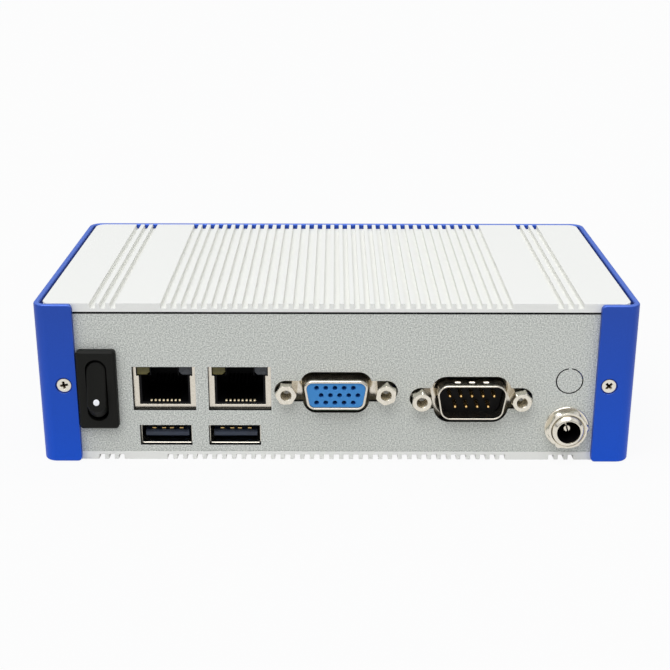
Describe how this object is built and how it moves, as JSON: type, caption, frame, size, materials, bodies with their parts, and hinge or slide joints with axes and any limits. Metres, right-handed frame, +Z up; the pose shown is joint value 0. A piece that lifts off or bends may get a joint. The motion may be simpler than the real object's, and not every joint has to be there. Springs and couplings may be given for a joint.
{
  "type": "fanless industrial pc",
  "caption": "Low box computer: grooved white top and base, blue wrap round sides and back, grey panel with switch, network, USB, video, serial and power sockets.",
  "frame": {"origin": "under the middle of the whole object, on the plane it rests on", "axes": "+X along the panel to the right as seen from the connectors, +Y from the connector panel to the back, +Z up"},
  "size_m": [0.1494, 0.0828, 0.042],
  "materials": {
    "blue_anodised": "satin blue anodised aluminium strip",
    "white_coated": "white powder coat on extruded aluminium",
    "grey_coated": "light grey textured powder coat on sheet steel",
    "nickel_screw": "nickel-plated steel screws",
    "aluminium_bar": "plain machined aluminium",
    "board_green": "glass-fibre board with green solder mask",
    "brass_part": "plain brass",
    "chip_black": "moulded chip package",
    "pad_grey": "soft silicone pad",
    "black_plastic": "moulded black glass-filled plastic",
    "switch_plastic": "moulded black nylon with a fine satin texture",
    "white_mark": "white filled mark",
    "gold_contact": "gold-plated contacts",
    "lamp_plastic": "clear moulded lamp bodies",
    "nickel_shell": "nickel-plated drawn shell",
    "blue_plastic": "moulded mid-blue insert",
    "nickel_turned": "nickel-plated turned part"
  },
  "bodies": {
    "chassis": {"wrap_frame": "blue_anodised", "top_cover": "white_coated", "bottom_cover": "white_coated", "io_panel": "grey_coated", "case_screws": "nickel_screw", "corner_posts": "aluminium_bar", "main_board": "board_green", "board_standoffs": "brass_part", "board_screws": "nickel_screw", "processor": "chip_black", "heat_block": "aluminium_bar", "thermal_pad": "pad_grey", "memory_socket": "black_plastic", "memory_module": "board_green", "storage_socket": "black_plastic", "storage_module": "board_green", "battery_holder": "black_plastic", "clock_battery": "nickel_shell", "switch_body": "switch_plastic", "switch_terminals": "brass_part", "lan_left_shield": "nickel_shell", "lan_left_body": "black_plastic", "lan_left_contacts": "gold_contact", "lan_left_lights": "lamp_plastic", "usb_left_shell": "nickel_shell", "usb_left_body": "black_plastic", "usb_left_contacts": "gold_contact", "lan_right_shield": "nickel_shell", "lan_right_body": "black_plastic", "lan_right_contacts": "gold_contact", "lan_right_lights": "lamp_plastic", "usb_right_shell": "nickel_shell", "usb_right_body": "black_plastic", "usb_right_contacts": "gold_contact", "vga_shell": "nickel_shell", "vga_insert": "blue_plastic", "vga_contacts": "gold_contact", "vga_jackscrews": "nickel_turned", "serial_shell": "nickel_shell", "serial_insert": "black_plastic", "serial_pins": "gold_contact", "serial_jackscrews": "nickel_turned", "dc_barrel": "nickel_turned", "dc_liner": "black_plastic", "dc_pin": "nickel_turned", "dc_nut": "nickel_turned", "dc_washer": "nickel_turned"},
    "rocker": {"switch_rocker": "switch_plastic", "rocker_mark": "white_mark"}
  },
  "joints": [
    {"name": "rocker_tilt", "type": "hinge", "parent": "chassis", "child": "rocker", "pos_m": [-0.0598, -0.03446, 0.01965], "axis": [1, 0, 0], "range_deg": [0, 26.6]}
  ]
}
